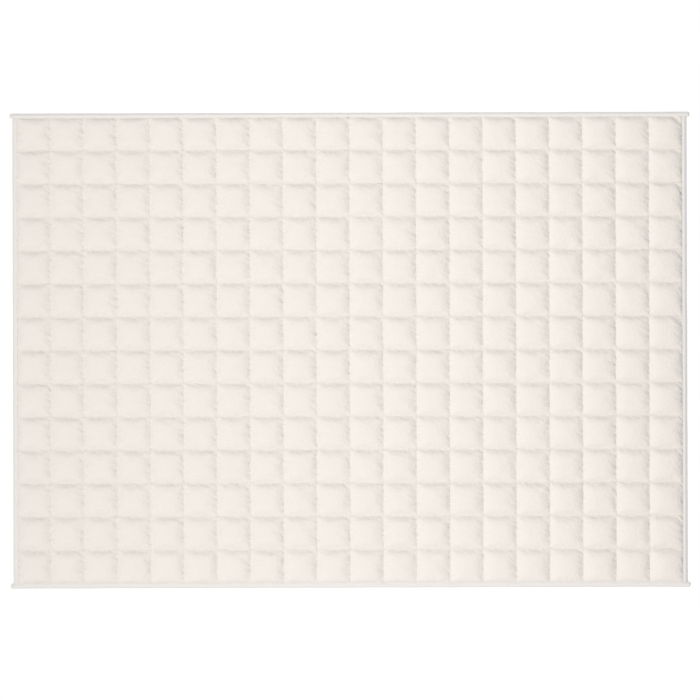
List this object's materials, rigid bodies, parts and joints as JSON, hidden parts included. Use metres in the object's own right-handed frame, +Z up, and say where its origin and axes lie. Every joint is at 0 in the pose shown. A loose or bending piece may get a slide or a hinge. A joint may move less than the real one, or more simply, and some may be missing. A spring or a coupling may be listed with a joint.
{
  "type": "weighted blanket",
  "caption": "Weighted blanket lying flat, quilted through in square pockets of fill, its edges bound with folded tape that runs past the corners.",
  "frame": {"origin": "on the surface that the blanket lies on, under the middle of the blanket", "axes": "+X along the length, +Y across the width towards the far edge, +Z up out of the face"},
  "size_m": [2.218, 1.55, 0.0204],
  "materials": {
    "cover": "matte",
    "binding": "matte"
  },
  "bodies": {
    "root": {"quilted_body": "cover", "binding_far": "binding", "binding_near": "binding", "binding_left": "binding", "binding_right": "binding"}
  },
  "joints": []
}
